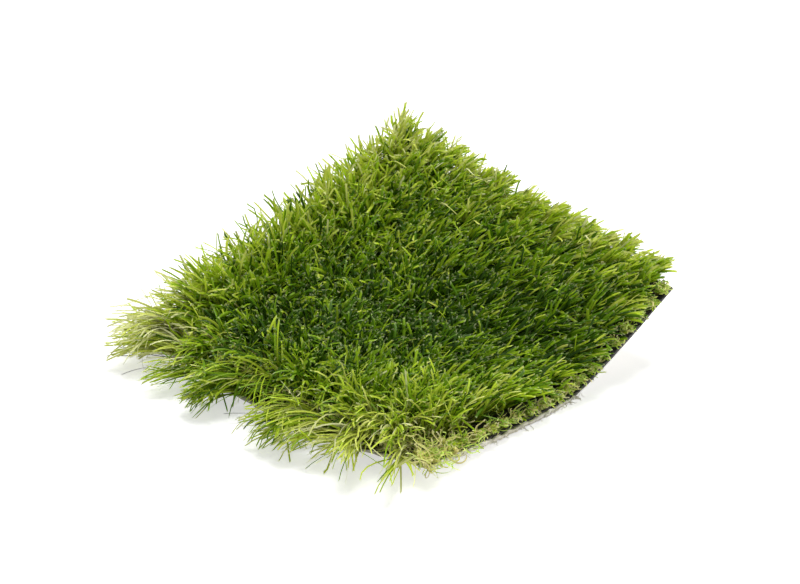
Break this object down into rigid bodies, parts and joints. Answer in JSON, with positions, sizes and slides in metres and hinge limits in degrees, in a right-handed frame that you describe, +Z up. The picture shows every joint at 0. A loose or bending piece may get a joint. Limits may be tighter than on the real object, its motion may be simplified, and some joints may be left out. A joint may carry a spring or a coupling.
{
  "type": "artificial turf sample",
  "caption": "Square cut piece of artificial turf with a stitched green pile on a black woven sheet and pale coat, curled up along one side.",
  "frame": {"origin": "on the underside, in the middle of the flat stretch the piece lies on", "axes": "+X along the stitched rows towards the raised edge, +Y across the rows away from the bare cut edge, +Z up"},
  "size_m": [0.1716, 0.1634, 0.0698],
  "materials": {
    "latex_coat": "dull off-white latex with fine filler specks",
    "woven_backing": "black flat-tape weave",
    "turf_yarn": "satin green ribbons with straw and olive curled thatch"
  },
  "bodies": {
    "root": {"latex_coat": "latex_coat", "primary_backing": "woven_backing", "tuft_row_01": "turf_yarn", "tuft_row_02": "turf_yarn", "tuft_row_03": "turf_yarn", "tuft_row_04": "turf_yarn", "tuft_row_05": "turf_yarn", "tuft_row_06": "turf_yarn", "tuft_row_07": "turf_yarn", "tuft_row_08": "turf_yarn", "tuft_row_09": "turf_yarn", "tuft_row_10": "turf_yarn", "tuft_row_11": "turf_yarn", "tuft_row_12": "turf_yarn", "tuft_row_13": "turf_yarn", "tuft_row_14": "turf_yarn", "tuft_row_15": "turf_yarn", "tuft_row_16": "turf_yarn"}
  },
  "joints": []
}
